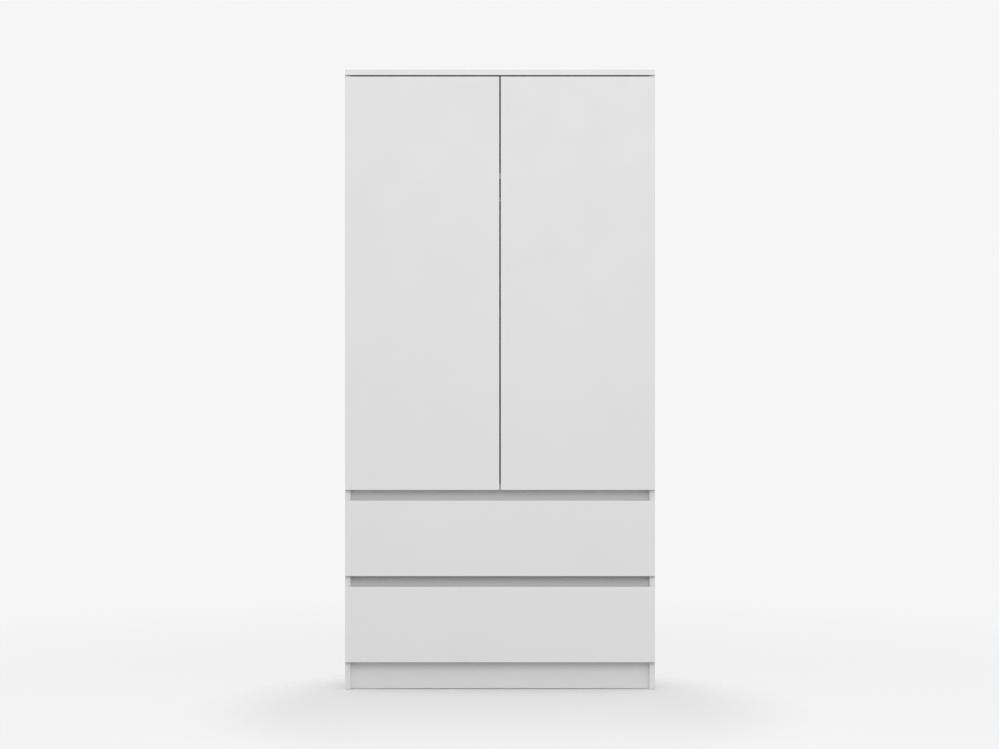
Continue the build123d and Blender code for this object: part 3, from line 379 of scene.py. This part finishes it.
BY_SLOT = {
    "body_melamine": BODY, "front_melamine": FRONT, "drawer_melamine": DRAWER, "white_hdf": BACK_HDF,
    "chromed_tube": CHROME, "zinc_cast": ZINC_CAST, "zinc_steel": ZINC_PLATE, "nickel_steel": NICKEL,
    "galvanised_steel": SPANGLE, "beech": BEECH, "white_coated_steel": COATED, "nylon": NYLON,
    "white_plastic": STRIP, "glide_plastic": GLIDES, "clear_bumper": CLEAR,
}
SLOT_OF = {part["node"]: part["material_slot"] for part in frame["record"]["subparts"]}


def dress(node, material):
    """One material on every slot of a CAD node."""
    for place in NODES[node].material_slots:
        place.material = material


for node, slot_name in SLOT_OF.items():
    dress(node, BY_SLOT[slot_name])
for level in ("upper", "lower"):
    dress(f"drawer_bottom_{level}", BOTTOM_HDF)
# the recessed rails and kickboard take the lighter copy, a painted lift of the shade in their recesses
for node in ("kickboard", "grip_rail_upper", "grip_rail_lower"):
    dress(node, RAIL_PAINTED_LIGHTER)


# ---- cover caps on the cam locks that show --------------------------------------------------
CAP_RIM, CAP_RISE, CAP_NOTCH = 0.35 * MM, 0.9 * MM, 0.6 * MM
CAP_STEPS, NOTCH_STEPS, DOME_STEPS = 40, (0, 1), 8
WELD = 0.01 * MM                                 # closer corners of a CAD mesh are one corner
ACROSS = 0.9                                     # a lock in a side face is this much shorter across it


def solids_of(node):
    """The lowest and highest corner of each separate solid in a CAD node."""
    shape = bmesh.new()
    shape.from_mesh(NODES[node].data)
    bmesh.ops.remove_doubles(shape, verts=shape.verts, dist=WELD)
    left = set(shape.verts)
    boxes = []
    while left:
        seed = left.pop()
        found, waiting = [seed], [seed]
        while waiting:
            vertex = waiting.pop()
            for link in vertex.link_edges:
                other = link.other_vert(vertex)
                if other in left:
                    left.discard(other)
                    found.append(other)
                    waiting.append(other)
        spans = [[v.co[axis] for v in found] for axis in range(3)]
        boxes.append((Vector([min(span) for span in spans]), Vector([max(span) for span in spans])))
    shape.free()
    return sorted(boxes, key=lambda box: tuple(round(c, 5) for c in box[0]))


def cap(name, centre, facing, radius, body):
    """A thin domed plastic cap with a rolled rim and a small lifting notch."""
    edge = radius + 2 * CAP_RIM
    profile = [(edge, 0.0), (edge, CAP_RIM), (radius + CAP_RIM, 2 * CAP_RIM)]
    for step in range(DOME_STEPS):
        turn = step / (DOME_STEPS - 1) * math.pi / 2
        dome = (CAP_RISE - 2 * CAP_RIM) * math.sin(turn)
        profile.append((radius * math.cos(turn), 2 * CAP_RIM + dome))
    shape = bmesh.new()
    rings = []
    for r, rise in profile[:-1]:
        ring = []
        for k in range(CAP_STEPS):
            angle = 2 * math.pi * k / CAP_STEPS
            reach = r - CAP_NOTCH if k in NOTCH_STEPS and r > radius else r
            corner = (facing * rise, reach * math.cos(angle), reach * math.sin(angle))
            ring.append(shape.verts.new(corner))
        rings.append(ring)
    top = shape.verts.new((facing * profile[-1][1], 0, 0))
    for lower, upper in zip(rings, rings[1:]):
        for k in range(CAP_STEPS):
            after = (k + 1) % CAP_STEPS
            shape.faces.new((lower[k], lower[after], upper[after], upper[k]))
    for k in range(CAP_STEPS):
        shape.faces.new((rings[-1][k], rings[-1][(k + 1) % CAP_STEPS], top))
    shape.faces.new(list(reversed(rings[0])))
    bmesh.ops.recalc_face_normals(shape, faces=shape.faces)
    for face in shape.faces:
        face.smooth = len(face.verts) < CAP_STEPS    # all but the flat underside
    mesh = bpy.data.meshes.new(name)
    shape.to_mesh(mesh)
    shape.free()
    piece = bpy.data.objects.new(name, mesh)
    bpy.context.scene.collection.objects.link(piece)
    piece.location = centre
    piece.data.materials.append(CAPS)
    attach(piece, body)


def caps_on(node, body, label):
    """A cap for each cam lock that is let into an inner side face."""
    count = 0
    for low, high in solids_of(node):
        size = high - low
        if size.x > ACROSS * min(size.y, size.z):
            continue
        middle = (low + high) / 2
        facing = -1 if middle.x > 0 else 1
        face_x = low.x if middle.x > 0 else high.x
        count += 1
        cap(f"{label}_cam_cap_{count}", (face_x, middle.y, middle.z), facing, size.y / 2, body)


caps_on("cam_locks", "carcass", "body")
caps_on("drawer_cam_locks_upper", "drawer_upper", "upper_drawer")
caps_on("drawer_cam_locks_lower", "drawer_lower", "lower_drawer")


# ---- floor, light and camera ---------------------------------------------------------------
FLOOR_R, FLOOR_STEPS = 9.0, 96
FADE_MIDDLE_Y, FADE_SQUEEZE = -1.2, 0.45         # the floor gives way sooner at the sides
FADES = ((0.45, 0.95, 0.8), (1.2, 3.6, 0.2))     # start, end and share of each of its two fades
BACKDROP = grey(0.925)
FLOOR_SEEN, FLOOR_BOUNCE = 0.818, 0.50           # the floor is kept light, but throws little light back
FLOOR_DARKER, FLOOR_LIGHTER = 0.008, 0.007       # how far its tone wanders
AMBIENT, OVERHEAD = 0.46, 1.03                   # brightness round the object, and of the soft box overhead
BOX_EDGE, BOX_FULL = 0.25, 0.8                   # how high in the sky the soft box begins, and is whole
LAMPS = {                                        # place, width and power of each soft box
    "key": ((1.6, -4.0, 5.5), 3.0, 13),
    "front": ((0.3, -7.0, 2.85), 3.6, 153),
}


def floor():
    """A plain pale disc that gives way to the backdrop's white towards its rim."""
    mesh = bpy.data.meshes.new("floor")
    shape = bmesh.new()
    bmesh.ops.create_circle(shape, cap_ends=True, segments=FLOOR_STEPS, radius=FLOOR_R)
    shape.to_mesh(mesh)
    shape.free()
    disc = bpy.data.objects.new("floor", mesh)
    bpy.context.scene.collection.objects.link(disc)
    s = Shader("floor")
    grain = s.noise(300, detail=2)
    seen = s.mix(s.noise(1.5), grey(FLOOR_SEEN - FLOOR_DARKER), grey(FLOOR_SEEN + FLOOR_LIGHTER))
    direct = s.node("ShaderNodeLightPath").outputs["Is Camera Ray"]
    s.principled(
        Base_Color=s.mix(direct, grey(FLOOR_BOUNCE), seen),
        Roughness=s.remap(grain, 0.5, 0.6),
        Specular_IOR_Level=0.3,
    )
    placed = s.node("ShaderNodeVectorMath", operation="SUBTRACT")
    s.link(s.position, placed.inputs[0])
    placed.inputs[1].default_value = (0.0, FADE_MIDDLE_Y, 0.0)
    squeezed = s.node("ShaderNodeVectorMath", operation="MULTIPLY")
    s.link(placed.outputs[0], squeezed.inputs[0])
    squeezed.inputs[1].default_value = (1.0, FADE_SQUEEZE, 1.0)
    away = s.node("ShaderNodeVectorMath", operation="LENGTH")
    s.link(squeezed.outputs[0], away.inputs[0])
    fades = []
    for start, end, share in FADES:
        fade = s.node("ShaderNodeMapRange", interpolation_type="SMOOTHERSTEP")
        s.link(away.outputs["Value"], fade.inputs["Value"])
        fade.inputs["From Min"].default_value = start
        fade.inputs["From Max"].default_value = end
        fade.inputs["To Max"].default_value = share
        fades.append(fade.outputs["Result"])
    clear = s.node("ShaderNodeBsdfTransparent")
    blend = s.node("ShaderNodeMixShader")
    s.link(s.math("ADD", *fades), blend.inputs[0])
    s.link(s.bsdf.outputs[0], blend.inputs[1])
    s.link(clear.outputs[0], blend.inputs[2])
    s.link(blend.outputs[0], s.output.inputs["Surface"])
    disc.data.materials.append(s.material)


def area_light(name, place, size, power):
    """A round soft box that looks at the middle of the object."""
    data = bpy.data.lights.new(name, "AREA")
    data.shape = "DISK"
    data.size = size
    data.energy = power
    lamp = bpy.data.objects.new(name, data)
    bpy.context.scene.collection.objects.link(lamp)
    lamp.location = place
    lamp.rotation_euler = (MIDDLE - Vector(place)).to_track_quat("-Z", "Y").to_euler()


def studio():
    """Even white surroundings that grow brighter overhead, where the soft box hangs."""
    world = bpy.data.worlds.new("studio")
    bpy.context.scene.world = world
    world.use_nodes = True
    tree = world.node_tree
    direction = tree.nodes.new("ShaderNodeTexCoord")
    height = tree.nodes.new("ShaderNodeSeparateXYZ")
    rise = tree.nodes.new("ShaderNodeMapRange")
    rise.interpolation_type = "SMOOTHSTEP"
    blend = tree.nodes.new("ShaderNodeMix")
    blend.data_type = "RGBA"
    tree.links.new(direction.outputs["Generated"], height.inputs[0])
    tree.links.new(height.outputs["Z"], rise.inputs["Value"])
    rise.inputs["From Min"].default_value = BOX_EDGE
    rise.inputs["From Max"].default_value = BOX_FULL
    tree.links.new(rise.outputs["Result"], blend.inputs["Factor"])
    blend.inputs[COLOUR_A].default_value = grey(AMBIENT)
    blend.inputs[COLOUR_B].default_value = grey(OVERHEAD)
    seen = tree.nodes.new("ShaderNodeMix")
    seen.data_type = "RGBA"
    path = tree.nodes.new("ShaderNodeLightPath")
    tree.links.new(path.outputs["Is Camera Ray"], seen.inputs["Factor"])
    tree.links.new(blend.outputs[COLOUR_OUT], seen.inputs[COLOUR_A])
    seen.inputs[COLOUR_B].default_value = BACKDROP
    tree.links.new(seen.outputs[COLOUR_OUT], tree.nodes["Background"].inputs["Color"])


floor()
studio()
for name, (place, size, power) in LAMPS.items():
    area_light(name, place, size, power)
bpy.context.scene.view_settings.view_transform = "Standard"

# the lens is long and level, so the front stays square
CAMERA_X, CAMERA_AWAY, CAMERA_HEIGHT = -0.0015, 13.4, 0.9152
VIEW_WIDTH = 2.8988                              # what the frame spans at the fronts
SENSOR, FAR_CLIP = 36.0, 100.0
camera_data = bpy.data.cameras.new("camera")
camera_data.sensor_width = SENSOR
camera_data.lens = SENSOR * CAMERA_AWAY / VIEW_WIDTH
camera_data.clip_end = FAR_CLIP
camera = bpy.data.objects.new("camera", camera_data)
bpy.context.scene.collection.objects.link(camera)
camera.location = (CAMERA_X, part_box("door_left")[0].y - CAMERA_AWAY, CAMERA_HEIGHT)
camera.rotation_euler = (math.pi / 2, 0, 0)
bpy.context.scene.camera = camera
